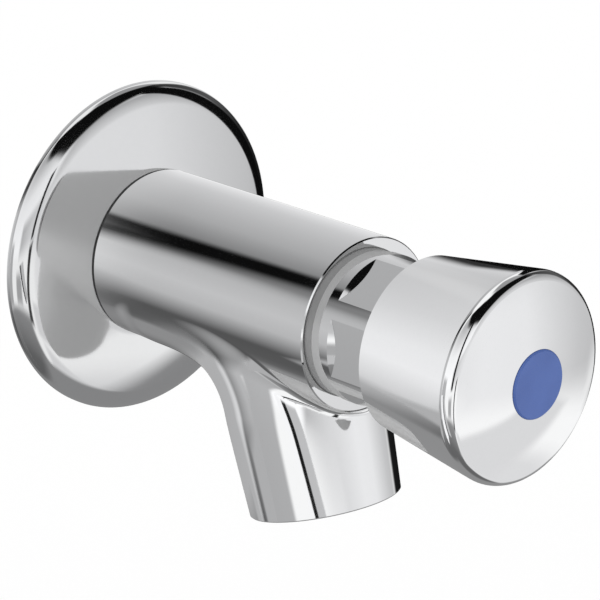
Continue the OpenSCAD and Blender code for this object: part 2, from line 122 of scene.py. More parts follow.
def polish_group():
    """Soft patches of clearer and hazier polish, with hairline marks."""
    group, given, out = new_group(
        "polish",
        [("Patch Scale", FLOAT, 60.0), ("Clear", FLOAT, 0.03), ("Hazy", FLOAT, 0.06),
         ("Mark Scale", FLOAT, 900.0)],
        [("Roughness", FLOAT), ("Height", FLOAT)],
    )
    place = add_node(group, "ShaderNodeTexCoord").outputs["Object"]
    patches = noise(group, place, given.outputs["Patch Scale"], 3.0)
    feed(group, out, "Roughness", spread(group, patches, given.outputs["Clear"], given.outputs["Hazy"]))
    feed(group, out, "Height", noise(group, place, given.outputs["Mark Scale"], 4.0))
    return group


def turning_group():
    """Fine rings that a lathe leaves round the tap's axis."""
    group, given, out = new_group(
        "turning",
        [("Pitch Scale", FLOAT, 1500.0), ("Clear", FLOAT, 0.2), ("Hazy", FLOAT, 0.35)],
        [("Roughness", FLOAT), ("Height", FLOAT), ("Tone", FLOAT)],
    )
    place = add_node(group, "ShaderNodeTexCoord").outputs["Object"]
    rings = add_node(group, "ShaderNodeTexWave", wave_type="BANDS", bands_direction="Y")
    feed(group, rings, "Vector", place)
    feed(group, rings, "Scale", given.outputs["Pitch Scale"])
    feed(group, rings, "Distortion", RING_WANDER)
    patches = noise(group, place, TURNED_PATCHES, 3.0)
    feed(group, out, "Roughness", spread(group, patches, given.outputs["Clear"], given.outputs["Hazy"]))
    feed(group, out, "Height", rings.outputs["Fac"])
    feed(group, out, "Tone", spread(group, patches, 0.0, 1.0))
    return group


def moulding_group():
    """Fine grain and faint flow marks of a moulded piece."""
    group, given, out = new_group(
        "moulding",
        [("Grain Scale", FLOAT, 2500.0), ("Clear", FLOAT, 0.35), ("Hazy", FLOAT, 0.5)],
        [("Roughness", FLOAT), ("Height", FLOAT), ("Tone", FLOAT)],
    )
    place = add_node(group, "ShaderNodeTexCoord").outputs["Object"]
    flow = noise(group, place, FLOW_MARKS, 3.0)
    grain = noise(group, place, given.outputs["Grain Scale"], 2.0)
    feed(group, out, "Roughness", spread(group, grain, given.outputs["Clear"], given.outputs["Hazy"]))
    feed(group, out, "Height", grain)
    feed(group, out, "Tone", spread(group, flow, 0.0, 1.0))
    return group


POLISH, TURNING, MOULDING = polish_group(), turning_group(), moulding_group()


# Finishes

MIRRORED_ROUGHNESS = 0.5


def new_finish(name, group, metallic, values, bump, light, dark):
    """A Principled finish whose colour, roughness and bump come from one shared effect.
    The bump is a pair of strength and distance."""
    material = bpy.data.materials.new(name)
    material.use_nodes = True
    tree = material.node_tree
    shader = tree.nodes["Principled BSDF"]
    shader.inputs["Metallic"].default_value = metallic
    effect = add_node(tree, "ShaderNodeGroup", node_tree=group)
    for socket, value in values.items():
        effect.inputs[socket].default_value = value
    feed(tree, shader, "Roughness", effect.outputs["Roughness"])
    raised = add_node(tree, "ShaderNodeBump")
    raised.inputs["Strength"].default_value = bump[0]
    raised.inputs["Distance"].default_value = bump[1]
    feed(tree, raised, "Height", effect.outputs["Height"])
    feed(tree, shader, "Normal", raised.outputs["Normal"])
    tone = effect.outputs["Tone"] if "Tone" in effect.outputs else effect.outputs["Height"]
    feed(tree, shader, "Base Color", mix_colour(tree, tone, (*dark, 1.0), (*light, 1.0)))
    return material


def soften_and_shade_mirrored(material, roughness, painted_shade_grey):
    """Chrome that is itself mirrored in chrome is drawn rougher, and there its colour is swapped for a flat
    grey: painted shade that darkens chrome seen in chrome.
    """
    tree = material.node_tree
    shader = tree.nodes["Principled BSDF"]
    rays = add_node(tree, "ShaderNodeLightPath")
    again = add_node(tree, "ShaderNodeMath", operation="MULTIPLY")
    feed(tree, again, 0, rays.outputs["Is Glossy Ray"])
    feed(tree, again, 1, roughness)
    softer = add_node(tree, "ShaderNodeMath", operation="MAXIMUM")
    feed(tree, softer, 0, shader.inputs["Roughness"].links[0].from_socket)
    feed(tree, softer, 1, again.outputs[0])
    feed(tree, shader, "Roughness", softer.outputs[0])
    # Painted shade: glossy rays see a flat grey in place of the chrome's own colour.
    direct = shader.inputs["Base Color"].links[0].from_socket
    feed(tree, shader, "Base Color", mix_colour(tree, rays.outputs["Is Glossy Ray"], direct, grey(painted_shade_grey)))


PLATE_POLISH = {"Patch Scale": 60.0, "Clear": 0.03, "Hazy": 0.06, "Mark Scale": 900.0}
ROSE_POLISH = {"Patch Scale": 45.0, "Clear": 0.05, "Hazy": 0.085, "Mark Scale": 700.0}
PLATE_BUMP = (0.02, 0.00002)
PLATE_LIGHT, PLATE_DARK = (0.93, 0.935, 0.94), (0.91, 0.915, 0.92)
ROSE_LIGHT, ROSE_DARK = (0.81, 0.815, 0.82), (0.79, 0.795, 0.80)

chrome_plate = new_finish("chrome_plate", POLISH, 1.0, PLATE_POLISH, PLATE_BUMP, PLATE_LIGHT, PLATE_DARK)
rose_plate = new_finish("rose_plate", POLISH, 1.0, ROSE_POLISH, PLATE_BUMP, ROSE_LIGHT, ROSE_DARK)
turned_plate = new_finish("turned_plate", POLISH, 1.0, PLATE_POLISH, PLATE_BUMP, PLATE_LIGHT, PLATE_DARK)
# Painted shade levels: the flat grey each plate shows where it is seen mirrored in chrome.
for plate, mirrored_painted_shade in ((chrome_plate, 0.8), (rose_plate, 0.7), (turned_plate, 0.5)):
    soften_and_shade_mirrored(plate, MIRRORED_ROUGHNESS, mirrored_painted_shade)
bare_brass = new_finish(
    "bare_brass", TURNING, 1.0, {"Pitch Scale": 1500.0, "Clear": 0.2, "Hazy": 0.34},
    (0.25, 0.00003), (0.82, 0.64, 0.32), (0.68, 0.50, 0.22))
stainless = new_finish(
    "stainless", TURNING, 1.0, {"Pitch Scale": 2200.0, "Clear": 0.18, "Hazy": 0.3},
    (0.15, 0.00002), (0.70, 0.71, 0.72), (0.60, 0.61, 0.62))
black_rubber = new_finish(
    "black_rubber", MOULDING, 0.0, {"Grain Scale": 2500.0, "Clear": 0.55, "Hazy": 0.75},
    (0.3, 0.00005), (0.035, 0.035, 0.036), (0.022, 0.022, 0.022))
white_acetal = new_finish(
    "white_acetal", MOULDING, 0.0, {"Grain Scale": 1800.0, "Clear": 0.34, "Hazy": 0.46},
    (0.1, 0.00003), (0.86, 0.86, 0.83), (0.80, 0.80, 0.76))
blue_plastic = new_finish(
    "blue_plastic", MOULDING, 0.0, {"Grain Scale": 2200.0, "Clear": 0.32, "Hazy": 0.42},
    (0.12, 0.00003), (0.070, 0.135, 0.41), (0.060, 0.118, 0.37))
FINISHES = {
    "chrome_plate": chrome_plate, "bare_brass": bare_brass, "stainless": stainless,
    "black_rubber": black_rubber, "white_acetal": white_acetal, "blue_plastic": blue_plastic,
}


def dress(piece, finish):
    piece.data.materials.clear()
    piece.data.materials.append(finish)


for part in frame["record"]["subparts"]:
    dress(frame["nodes"][part["node"]], FINISHES[part["material_slot"]])
for turned in ("cartridge_head", "button_cap", "outlet_ring"):
    dress(frame["nodes"][turned], turned_plate)


# Casting: body and spout under one smooth skin, with bores, rim edges and threaded tail. Lengths are mm.

BODY_R, BODY_REAR, BODY_FRONT = 18.0, 6.6, 69.0
RIM_BEVEL = 0.25
SPOUT_AT, SPOUT_REACH = 45.8, 43.5
SPOUT_LEAN = math.radians(15.8)
LEAN_SIN, LEAN_COS = math.sin(SPOUT_LEAN), math.cos(SPOUT_LEAN)
LEAD_R, BEND_R, SPOUT_ROOT_R, MOUTH_R = 50.0, 25.0, 16.9, 15.85
LEAD_END, BEND_END = math.radians(25.0), math.pi / 2 - SPOUT_LEAN
BEND_DROP = LEAD_R * (1 - math.cos(LEAD_END)) + BEND_R * (math.cos(LEAD_END) - math.cos(BEND_END))
BEND_RUN = LEAD_R * math.sin(LEAD_END) + BEND_R * (math.sin(BEND_END) - math.sin(LEAD_END))
NOZZLE_FROM = BEND_DROP / LEAN_COS
NOZZLE_DEPTH, NOZZLE_Z = SPOUT_AT + NOZZLE_FROM * LEAN_SIN, -BEND_DROP
BEND_FROM = NOZZLE_DEPTH - BEND_RUN
SPOUT_ARCS = [
    (BEND_FROM, -LEAD_R, LEAD_R, 0.0, LEAD_END),
    (BEND_FROM + (LEAD_R - BEND_R) * math.sin(LEAD_END), (LEAD_R - BEND_R) * math.cos(LEAD_END) - LEAD_R,
     BEND_R, LEAD_END, BEND_END),
]
TAPER_EASE = 4.0
NOZZLE_L = SPOUT_REACH - RIM_BEVEL - NOZZLE_FROM
TAPER = (SPOUT_ROOT_R - MOUTH_R) / (math.hypot(NOZZLE_L, TAPER_EASE) - TAPER_EASE)

# Fillet between body and spout: its widths, the depths where they change and the drops where it starts
BLEND_REAR, BLEND_FRONT = 2.4, 2.0
BLEND_CHANGE = (48.0, 66.0)
BLEND_BELOW = (0.5, 9.0)

# Mesh of the skin
SKIN_CELL, SKIN_REACH, SLOPE_STEP = 0.5, 1.5, 0.002
EVEN_ROUNDS, EVEN_SHARE = 3, 0.6
TINY = 1e-6
SHARP_EDGE = math.radians(32)


def ramp(value, start, end):
    """Smooth step from 0 at the start to 1 at the end."""
    t = np.clip((value - start) / (end - start), 0.0, 1.0)
    return t * t * (3 - 2 * t)


def spout_gap(p):
    """Distance of points from the spout's outside: two arcs, then the tapered nozzle."""
    x, depth, z = p[:, 0], -p[:, 1], p[:, 2]
    gaps = []
    for centre, drop, arc_r, start, end in SPOUT_ARCS:
        turn = np.clip(np.arctan2(depth - centre, z - drop), start, end)
        aside = depth - centre - arc_r * np.sin(turn)
        above = z - drop - arc_r * np.cos(turn)
        gaps.append(np.sqrt(x ** 2 + aside ** 2 + above ** 2) - SPOUT_ROOT_R)
    run = np.maximum((depth - NOZZLE_DEPTH) * LEAN_SIN - (z - NOZZLE_Z) * LEAN_COS, 0.0)
    aside = depth - NOZZLE_DEPTH - run * LEAN_SIN
    above = z - NOZZLE_Z + run * LEAN_COS
    drawn_in = TAPER * (np.hypot(run, TAPER_EASE) - TAPER_EASE)
    gaps.append(np.sqrt(x ** 2 + aside ** 2 + above ** 2) - SPOUT_ROOT_R + drawn_in)
    return np.min(gaps, axis=0)


def skin_gap(p):
    """Distance of points from the casting's skin, where body and spout run into each other in a fillet."""
    body = np.hypot(p[:, 0], p[:, 2]) - BODY_R
    spout = spout_gap(p)
    width = BLEND_REAR + (BLEND_FRONT - BLEND_REAR) * ramp(-p[:, 1], *BLEND_CHANGE)
    width = width * ramp(-p[:, 2], *BLEND_BELOW) + TINY
    overlap = np.maximum(width - np.abs(body - spout), 0.0)
    return np.minimum(body, spout) - overlap ** 2 / (4 * width)


def skin_slope(p):
    """Direction in which the gap grows, which is the skin's normal on the skin."""
    shifts = np.eye(3) * SLOPE_STEP
    return np.stack([(skin_gap(p + s) - skin_gap(p - s)) / (2 * SLOPE_STEP) for s in shifts], axis=1)


def onto_skin(p, rounds=6):
    """Moves points down the slope until they lie on the skin."""
    for _ in range(rounds):
        slope = skin_slope(p)
        p = p - slope * (skin_gap(p) / np.maximum((slope ** 2).sum(1), TINY))[:, None]
    return p


def along_tap(u, v, depth):
    return (u, -depth, v)


def along_spout(u, v, run):
    return (u, v * LEAN_COS - SPOUT_AT - run * LEAN_SIN, -v * LEAN_SIN - run * LEAN_COS)


def ring_solid(name, rings, hollow=False):
    """Closed mesh through a stack of rings of equal count.
    It is capped at both ends or, when hollow, goes on from the last ring to the first."""
    count = len(rings[0])
    stack = list(range(len(rings))) + ([0] if hollow else [])
    faces = [(i * count + k, i * count + (k + 1) % count, j * count + (k + 1) % count, j * count + k)
             for i, j in zip(stack, stack[1:]) for k in range(count)]
    if not hollow:
        last = (len(rings) - 1) * count
        faces += [tuple(reversed(range(count))), tuple(range(last, last + count))]
    mesh = bpy.data.meshes.new(name)
    mesh.from_pydata([tuple(p) for ring in rings for p in ring], [], faces)
    bm = bmesh.new()
    bm.from_mesh(mesh)
    bmesh.ops.recalc_face_normals(bm, faces=bm.faces)
    bm.to_mesh(mesh)
    bm.free()
    return mesh


def turned_solid(name, profile, place, sides=128, hollow=False):
    """Solid of revolution through (radius, station) pairs, set along the tap or the spout."""
    turns = [2 * math.pi * k / sides for k in range(sides)]
    rings = [[place(r * math.cos(a), r * math.sin(a), at) for a in turns] for r, at in profile]
    return ring_solid(name, rings, hollow)


def link(name, mesh):
    piece = bpy.data.objects.new(name, mesh)
    bpy.context.scene.collection.objects.link(piece)
    return piece


def settled(piece):
    """Mesh of a piece with its modifiers applied."""
    bpy.context.view_layer.update()
    return bpy.data.meshes.new_from_object(piece.evaluated_get(bpy.context.evaluated_depsgraph_get()))


def drop(*pieces):
    for piece in pieces:
        bpy.data.objects.remove(piece)


ROUGH_SPARE, ROUGH_SIDES = 4.0, 96


def spout_rings():
    """Rings along the spout's centre line, for the rough form that the skin starts from."""
    stations = []
    for centre, low, arc_r, start, end in SPOUT_ARCS:
        for turn in np.linspace(start, end, 12):
            depth, z = centre + arc_r * math.sin(turn), low + arc_r * math.cos(turn)
            stations.append((depth, z, turn, SPOUT_ROOT_R))
    for run in np.linspace(2.0, NOZZLE_L + ROUGH_SPARE, 10):
        stations.append((NOZZLE_DEPTH + run * LEAN_SIN, NOZZLE_Z - run * LEAN_COS, BEND_END,
                         SPOUT_ROOT_R - TAPER * (math.hypot(run, TAPER_EASE) - TAPER_EASE)))
    rings = []
    for depth, z, turn, r in stations:
        ring = []
        for a in np.linspace(0, 2 * math.pi, ROUGH_SIDES, endpoint=False):
            out = r * math.sin(a)
            ring.append((r * math.cos(a), -depth - out * math.sin(turn), z + out * math.cos(turn)))
        rings.append(ring)
    return rings


def casting_skin():
    """Even mesh over body and spout, drawn onto the smooth skin."""
    length = [(BODY_R, BODY_REAR - ROUGH_SPARE), (BODY_R, BODY_FRONT + ROUGH_SPARE)]
    rough = bmesh.new()
    rough.from_mesh(turned_solid("rough_body", length, along_tap))
    rough.from_mesh(ring_solid("rough_spout", spout_rings()))
    mesh = bpy.data.meshes.new("rough_casting")
    rough.to_mesh(mesh)
    rough.free()
    piece = link("rough_casting", mesh)
    cells = piece.modifiers.new("cells", "REMESH")
    cells.mode = "VOXEL"
    cells.voxel_size = SKIN_CELL
    even = settled(piece)
    drop(piece)
    p = np.empty(len(even.vertices) * 3)
    even.vertices.foreach_get("co", p)
    p = p.reshape(-1, 3)
    ends = np.empty(len(even.edges) * 2, dtype=np.int64)
    even.edges.foreach_get("vertices", ends)
    ends = ends.reshape(-1, 2)
    near = np.abs(skin_gap(p)) < SKIN_REACH * SKIN_CELL
    p[near] = onto_skin(p[near])
    for _ in range(EVEN_ROUNDS):
        total, count = np.zeros_like(p), np.zeros(len(p))
        for a, b in ((0, 1), (1, 0)):
            np.add.at(total, ends[:, a], p[ends[:, b]])
            np.add.at(count, ends[:, a], 1)
        p[near] += EVEN_SHARE * (total[near] / count[near][:, None] - p[near])
        p[near] = onto_skin(p[near], 3)
    even.vertices.foreach_set("co", p.ravel())
    even.update()
    return even


TAIL_R, TAIL_NECK_R, TAIL_L, TAIL_CHAMFER = 10.4775, 10.1775, 15.0, 1.0
THREAD_PITCH, THREAD_DEPTH = 1.814, 1.162
THREAD_SIDES, THREAD_STEPS = 96, 14
THREAD_FLANK = (0.08, 0.92)
TAIL_ROOT, TAIL_NECK_END = 1.5, 0.6


def tail_rings():
    """Rings down the tail: a plain neck, then the pipe thread with its run-out and chamfered end."""
    rings = [[along_tap(TAIL_NECK_R * math.cos(a), TAIL_NECK_R * math.sin(a), depth)
              for a in np.linspace(0, 2 * math.pi, THREAD_SIDES, endpoint=False)]
             for depth in (BODY_REAR + TAIL_ROOT, TAIL_NECK_END)]
    for depth in np.arange(0.0, -TAIL_L - TINY, -THREAD_PITCH / THREAD_STEPS):
        fade = ramp(-depth, 0.0, THREAD_PITCH)
        limit = TAIL_R - max(0.0, TAIL_CHAMFER - (TAIL_L + depth))
        ring = []
        for k in range(THREAD_SIDES):
            a = 2 * math.pi * k / THREAD_SIDES
            wave = 1 - abs(2 * ((depth / THREAD_PITCH + k / THREAD_SIDES) % 1.0) - 1)
            groove = THREAD_DEPTH * (1 - ramp(wave, *THREAD_FLANK))
            r = min(limit, TAIL_NECK_R + (TAIL_R - TAIL_NECK_R) * fade - groove * fade)
            ring.append(along_tap(r * math.cos(a), r * math.sin(a), depth))
        rings.append(ring)
    return rings


CASTING_BORE = [
    (7.0, -16.0), (7.0, 10.0), (10.0, 10.0), (10.0, 24.0), (11.55, 24.0), (11.55, 31.0),
    (14.0, 31.0), (14.0, 67.2), (15.0, 67.2), (15.0, 70.0)]
SPOUT_BORE = [(8.5, 6.0), (8.5, 30.0), (12.5, 30.0), (12.5, 44.5)]
SKIN_NEAR = 0.05
CUT_PAST, CUT_OUT, CUT_END, MOUTH_OUT, MOUTH_END = 0.05, 1.2, 6.0, 2.0, 8.0


def tap_casting():
    """Cuts the skin to length, adds the tail, bores it and gives it the skin's own normals."""
    casting = link("tap_casting", casting_skin())
    rim, mouth = RIM_BEVEL + CUT_PAST, SPOUT_REACH - RIM_BEVEL
    front_rim, mouth_rim, clear_r = BODY_R - RIM_BEVEL, MOUTH_R - RIM_BEVEL, BODY_R + CUT_OUT
    tools = [
        ("DIFFERENCE", turned_solid("front_face", [
            (front_rim, BODY_FRONT), (front_rim + rim, BODY_FRONT - rim), (BODY_R + CUT_PAST, BODY_FRONT),
            (clear_r, BODY_FRONT), (clear_r, BODY_FRONT + CUT_END)], along_tap)),
        ("DIFFERENCE", turned_solid("rear_face", [
            (clear_r, BODY_REAR - CUT_END), (clear_r, BODY_REAR)], along_tap)),
        ("DIFFERENCE", turned_solid("mouth_face", [
            (mouth_rim, SPOUT_REACH), (mouth_rim + rim, SPOUT_REACH - rim),
            (MOUTH_R + MOUTH_OUT, mouth), (MOUTH_R + MOUTH_OUT, SPOUT_REACH + MOUTH_END)], along_spout)),
        ("UNION", ring_solid("tail", tail_rings())),
        ("DIFFERENCE", turned_solid("bore", CASTING_BORE, along_tap)),
        ("DIFFERENCE", turned_solid("waterway", SPOUT_BORE, along_spout)),
    ]
    cutters = []
    for operation, mesh in tools:
        cutter = link(mesh.name, mesh)
        cutters.append(cutter)
        step = casting.modifiers.new(mesh.name, "BOOLEAN")
        step.operation, step.solver, step.object = operation, "EXACT", cutter
    mesh = settled(casting)
    drop(casting, *cutters)
    mesh.name = "tap_casting"
    mesh.shade_smooth()
    mesh.set_sharp_from_angle(angle=SHARP_EDGE)
    p = np.empty(len(mesh.vertices) * 3)
    mesh.vertices.foreach_get("co", p)
    p = p.reshape(-1, 3)
    on_skin = np.abs(skin_gap(p)) < SKIN_NEAR
    slope = skin_slope(p)
    slope /= np.maximum(np.linalg.norm(slope, axis=1), TINY)[:, None]
    normals = np.array([c.vector for c in mesh.corner_normals])
    for face in mesh.polygons:
        if all(on_skin[v] for v in face.vertices):
            for corner in face.loop_indices:
                normals[corner] = slope[mesh.loops[corner].vertex_index]
    mesh.vertices.foreach_set("co", (p * MM).ravel())
    mesh.update()
    mesh.normals_split_custom_set([tuple(n) for n in normals])
    casting = link("tap_casting", mesh)
    dress(casting, chrome_plate)
    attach(casting, "tap_body")
    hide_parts("body_casting")


tap_casting()


# Rose: a domed sheet whose face eases into the rolled rim

ROSE_R, ROSE_SEAT, ROSE_SHEET, ROSE_HOLE_R = 36.0, 6.2, 1.2, 10.6275
DOME_R = 160.0
DOME_CENTRE = ROSE_SEAT - math.sqrt(DOME_R ** 2 - BODY_R ** 2)
ROLL_FROM, ROLL_EDGE = 31.5, 0.71
INSIDE_ROLL_R, INSIDE_ROLL_AT, INSIDE_FROM = 1.8, 33.0, 30.0
ROSE_SIDES, DOME_STEPS, ROLL_STEPS, INSIDE_STEPS = 288, 12, 30, 10


def dome_height(r, inset=0.0):
    return DOME_CENTRE + math.sqrt((DOME_R - inset) ** 2 - r ** 2)


def eased_rose():
    """Face, rim and inside of the rose. The rim is a quarter of an ellipse that hangs from the dome."""
    width, fall = ROSE_R - ROLL_FROM, dome_height(ROSE_R) - ROLL_EDGE
    profile = [(ROSE_HOLE_R, ROSE_SEAT), (BODY_R, ROSE_SEAT)]
    profile += [(r, dome_height(r)) for r in np.linspace(BODY_R, ROLL_FROM, DOME_STEPS)[1:-1]]
    for turn in np.linspace(0, math.pi / 2, ROLL_STEPS):
        r = ROLL_FROM + width * math.sin(turn)
        profile.append((r, dome_height(r) - fall * (1 - math.cos(turn))))
    profile += [(ROSE_R, 0.0), (INSIDE_ROLL_AT + INSIDE_ROLL_R, 0.0)]
    leave = math.asin(INSIDE_ROLL_AT / (DOME_R - ROSE_SHEET - INSIDE_ROLL_R))
    for turn in np.linspace(math.pi / 2, leave, INSIDE_STEPS):
        r = INSIDE_ROLL_AT + INSIDE_ROLL_R * math.sin(turn)
        profile.append((r, ROLL_EDGE + INSIDE_ROLL_R * math.cos(turn)))
    ceiling = ROSE_SEAT - ROSE_SHEET
    for r in np.linspace(INSIDE_FROM, BODY_R, 8):
        profile.append((r, min(dome_height(r, ROSE_SHEET), ceiling)))
    profile.append((ROSE_HOLE_R, ceiling))
    in_metres = [(r * MM, at * MM) for r, at in profile]
    mesh = turned_solid("eased_rose", in_metres, along_tap, ROSE_SIDES, hollow=True)
    mesh.shade_smooth()
    mesh.set_sharp_from_angle(angle=SHARP_EDGE)
    rose = link("eased_rose", mesh)
    dress(rose, rose_plate)
    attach(rose, "tap_body")
    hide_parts("wall_rose")
    rose.visible_glossy = False
    frame["nodes"]["tail_washer"].visible_glossy = False


eased_rose()


# Return spring, wound finer than its CAD solid

COIL_R, WIRE_R, COIL_TURNS = 8.5, 0.8, 7
SPRING_FROM, SPRING_TO, SPRING_SEAT = 78.9, 103.1, 78.0
END_EASE = 0.35
COIL_STEPS, WIRE_SIDES, WIRE_END_EDGE = 56, 14, math.radians(50)


def return_coil():
    """Closing spring between the head and the button's hub, with eased end turns."""
    count = COIL_TURNS * COIL_STEPS
    rings = []
    for i in range(count + 1):
        turn = 2 * math.pi * i / count
        a = COIL_TURNS * turn
        rise = (turn - END_EASE * math.sin(turn)) / (2 * math.pi)
        depth = SPRING_FROM + (SPRING_TO - SPRING_FROM) * rise
        ring = []
        for k in range(WIRE_SIDES):
            b = 2 * math.pi * k / WIRE_SIDES
            r = COIL_R + WIRE_R * math.cos(b)
            ring.append((r * math.cos(a) * MM, -(depth + WIRE_R * math.sin(b)) * MM, r * math.sin(a) * MM))
        rings.append(ring)
    mesh = ring_solid("return_coil", rings)
    mesh.shade_smooth()
    mesh.set_sharp_from_angle(angle=WIRE_END_EDGE)
    spring = link("return_coil", mesh)
    dress(spring, stainless)
    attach(spring, "tap_body")
    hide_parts("return_spring")
    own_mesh(spring)


return_coil()


# Studio: a white tent, with panels that only the metal mirrors

TENT_R, PANEL_STEP = 1.6, 0.02
TENT_CENTRE = Vector((0.0, -0.05, 0.0))
MIRRORED_LEVEL, FIRST_MIRROR = 0.5, 1.5
CLOTH_BLUE = 1.01
STEEPEST, TENT_CELL, BOARD_CELLS = 89.0, 2.0, 24


def heading(azimuth, elevation):
    """Unit vector of a direction seen from the tap: azimuth 0 is out of the wall, 90 to the right."""
    a, e = math.radians(azimuth), math.radians(elevation)
    return Vector((math.sin(a) * math.cos(e), -math.cos(a) * math.cos(e), math.sin(e)))


def panel_finish():
    """Plain glow of each panel's own level, which runs out to nothing where the panel's cover does.
    In metal that is itself mirrored, all panels come down to one middle level."""
    material = bpy.data.materials.new("tent_cloth")
    material.use_nodes = True
    tree = material.node_tree
    tree.nodes.clear()
    again = add_node(tree, "ShaderNodeMath", operation="GREATER_THAN")
    feed(tree, again, 0, add_node(tree, "ShaderNodeLightPath").outputs["Glossy Depth"])
    feed(tree, again, 1, FIRST_MIRROR)
    own = add_node(tree, "ShaderNodeAttribute", attribute_name="glow")
    glow = add_node(tree, "ShaderNodeEmission")
    feed(tree, glow, "Color", mix_colour(tree, again.outputs[0], own.outputs["Color"], grey(MIRRORED_LEVEL)))
    clear = add_node(tree, "ShaderNodeBsdfTransparent")
    cover = add_node(tree, "ShaderNodeAttribute", attribute_name="cover")
    mix = add_node(tree, "ShaderNodeMixShader")
    feed(tree, mix, 0, cover.outputs["Fac"])
    feed(tree, mix, 1, clear.outputs[0])
    feed(tree, mix, 2, glow.outputs[0])
    feed(tree, add_node(tree, "ShaderNodeOutputMaterial"), "Surface", mix.outputs[0])
    return material


TENT_CLOTH = panel_finish()


def hang(name, points, row, cover, glow):
    """Puts up a panel from rows of points, each with its cover and its level. Only the metal mirrors it."""
    faces = []
    for i in range(len(points) // row - 1):
        for j in range(row - 1):
            quad = (i * row + j, i * row + j + 1, (i + 1) * row + j + 1, (i + 1) * row + j)
            if max(cover[q] for q in quad) > 0:
                faces.append(quad)
    mesh = bpy.data.meshes.new(name)
    mesh.from_pydata([tuple(p) for p in points], [], faces)
    mesh.attributes.new("cover", "FLOAT", "POINT").data.foreach_set("value", cover)
    mesh.attributes.new("glow", "FLOAT_COLOR", "POINT").data.foreach_set(
        "color", [c for level in glow for c in (level, level, level * CLOTH_BLUE, 1.0)])
    mesh.materials.append(TENT_CLOTH)
    panel = link(name, mesh)
    panel.visible_camera = panel.visible_diffuse = panel.visible_shadow = False


def next_radius():
    """Each far panel hangs a little nearer than the one before, so it covers it."""
    next_radius.count += 1
    return TENT_R - PANEL_STEP * next_radius.count


next_radius.count = 0


def steps_between(low, high, step):
    return np.linspace(low, high, max(2, round((high - low) / step)) + 1)


def level_at(place, levels):
    return float(np.interp(place, [at for at, _ in levels], [level for _, level in levels]))


def edge_room(point, outline):
    """How far a direction lies inside an outline, in degrees; below zero outside it."""
    az, el = point
    room, inside = math.inf, False
    for (a0, e0), (a1, e1) in zip(outline, outline[1:] + outline[:1]):
        if (e0 > el) != (e1 > el) and az < (a1 - a0) * (el - e0) / (e1 - e0) + a0:
            inside = not inside
        da, de = a1 - a0, e1 - e0
        t = min(1.0, max(0.0, ((az - a0) * da + (el - e0) * de) / max(da * da + de * de, TINY)))
        room = min(room, math.hypot(az - a0 - t * da, el - e0 - t * de))
    return room if inside else -room


def tent_panel(name, outline, upward, fade, sideways=((0, 1.0),), step=TENT_CELL):
    """A panel of the tent inside an outline of (azimuth, elevation) corners, with its edge faded.
    Its level is the product of one that changes upward and one that changes sideways."""
    radius = next_radius()
    azimuths, elevations = [c[0] for c in outline], [c[1] for c in outline]
    across = steps_between(min(azimuths) - fade / 2, max(azimuths) + fade / 2, step)
    lowest, highest = max(-STEEPEST, min(elevations) - fade / 2), min(STEEPEST, max(elevations) + fade / 2)
    up = steps_between(lowest, highest, step)
    points, cover, glow = [], [], []
    for el in up:
        for az in across:
            points.append(TENT_CENTRE + heading(az, el) * radius)
            cover.append(ramp(edge_room((az, el), outline), -fade / 2, fade / 2))
            glow.append(level_at(el, upward) * level_at(az, sideways))
    hang(name, points, len(across), cover, glow)


def tent_ring(name, inner, outer, levels, fade):
    """A ring of the tent round the tap's axis behind the wall, between two angles from that axis.
    Its levels follow the turn about the axis: 0 to the right, 90 up, 180 to the left."""
    radius = next_radius()
    first, last = levels[0][0], levels[-1][0]
    turns = steps_between(first, last, TENT_CELL)
    points, cover, glow = [], [], []
    for slant in steps_between(inner - fade / 2, outer + fade / 2, TENT_CELL):
        for turn in turns:
            out, a = math.radians(slant), math.radians(turn)
            away = Vector((math.sin(out) * math.cos(a), math.cos(out), math.sin(out) * math.sin(a)))
            points.append(TENT_CENTRE + away * radius)
            room = min(slant - inner + fade / 2, outer - slant + fade / 2, turn - first, last - turn)
            cover.append(ramp(room, 0.0, fade))
            glow.append(level_at(turn, levels))
    hang(name, points, len(turns), cover, glow)


def tent_board(name, corner, along, across, level, fade):
    """A flat board close to the tap, spread from one corner along two edges, its edge faded. All in mm."""
    corner, along, across = Vector(corner), Vector(along), Vector(across)
    points, cover = [], []
    for i in range(BOARD_CELLS + 1):
        for j in range(BOARD_CELLS + 1):
            u, v = i / BOARD_CELLS, j / BOARD_CELLS
            points.append((corner + u * along + v * across) * MM)
            room = min(min(u, 1 - u) * along.length, min(v, 1 - v) * across.length)
            cover.append(ramp(room, 0.0, fade) if fade else 1.0)
    hang(name, points, BOARD_CELLS + 1, cover, [level] * len(points))


# Far panels, each over the ones before it. Corners are (azimuth, elevation), levels run upward and sideways.

tent_panel(
    "tent_base",
    [(-240, -31), (-14, -31), (2, -56), (88, -56), (96, -31), (140, -31), (140, -89), (-240, -89)],
    [(-89, 0.12), (-60, 0.14), (-34, 0.28)], 7)
tent_panel("tent_foot", [(5, -37), (88, -37), (88, -58), (5, -58)], [(-58, 0.76), (-37, 0.76)], 6)
tent_panel(
    "tent_left", [(-126, 62), (-126, -4), (8, -4), (8, 62)],
    [(-4, 1.1), (25, 0.95), (40, 0.7), (54, 0.5)], 8)
tent_panel("tent_low", [(-56, -14), (-56, -29), (-32, -29), (-32, -14)], [(-29, 0.42), (-14, 0.42)], 6)
tent_panel(
    "tent_front",
    [(-47, 10), (-47, -5), (-14, -6), (8, -14), (14, -23), (80, -25), (88, 8), (80, 34), (8, 36), (0, 10)],
    [(-25, 1.0), (3, 1.0), (10, 0.84), (20, 0.7), (32, 0.5)], 10,
    [(-47, 0.5), (-20, 0.7), (20, 0.88), (40, 0.86), (54, 0.72), (68, 0.6), (82, 0.54)])
tent_panel(
    "tent_top_right", [(46, 46), (72, 30), (132, 58), (132, 82), (36, 82)], [(30, 0.4), (80, 0.3)], 10)
